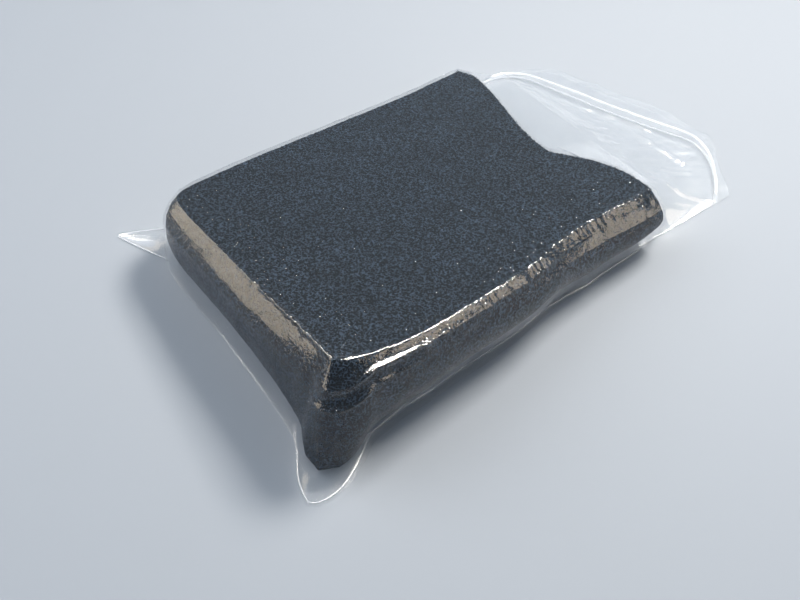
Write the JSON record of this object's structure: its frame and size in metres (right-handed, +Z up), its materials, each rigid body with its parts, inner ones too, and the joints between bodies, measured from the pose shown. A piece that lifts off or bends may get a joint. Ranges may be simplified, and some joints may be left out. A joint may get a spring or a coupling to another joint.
{
  "type": "foam air filter element in press-to-close bag",
  "caption": "Charcoal open-cell foam air filter pad with an S-cut end, packed in a clear press-to-close film bag whose mouth lifts open.",
  "frame": {"origin": "centre of the outline on the surface that the bag lies on", "axes": "+X from the bag's closed end to its mouth, +Y from the thick front side to the back, +Z up"},
  "size_m": [0.5538, 0.3148, 0.11],
  "materials": {
    "foam": "open-cell reticulated polyurethane foam, matt charcoal",
    "film": "clear thin polyethylene film, glossy with soft wrinkles",
    "zip_and_welds": "milky translucent polyethylene where the film is thick or fused"
  },
  "bodies": {
    "bag": {"foam_element": "foam", "bag_upper_film": "film", "bag_end_film": "film", "bag_lower_film": "film", "side_weld_front": "zip_and_welds", "side_weld_back": "zip_and_welds", "corner_ear_front": "film", "corner_ear_back": "film", "mouth_side_fold_front": "film", "mouth_side_fold_back": "film", "zip_channel": "zip_and_welds", "zip_end_weld_front": "zip_and_welds", "zip_end_weld_back": "zip_and_welds"},
    "mouth_flap": {"mouth_upper_film": "film", "zip_rib": "zip_and_welds"}
  },
  "joints": [
    {"name": "mouth_open", "type": "hinge", "parent": "bag", "child": "mouth_flap", "pos_m": [0.1464, 0, 0.0324], "axis": [0, -1, 0], "range_deg": [0, 30]}
  ]
}
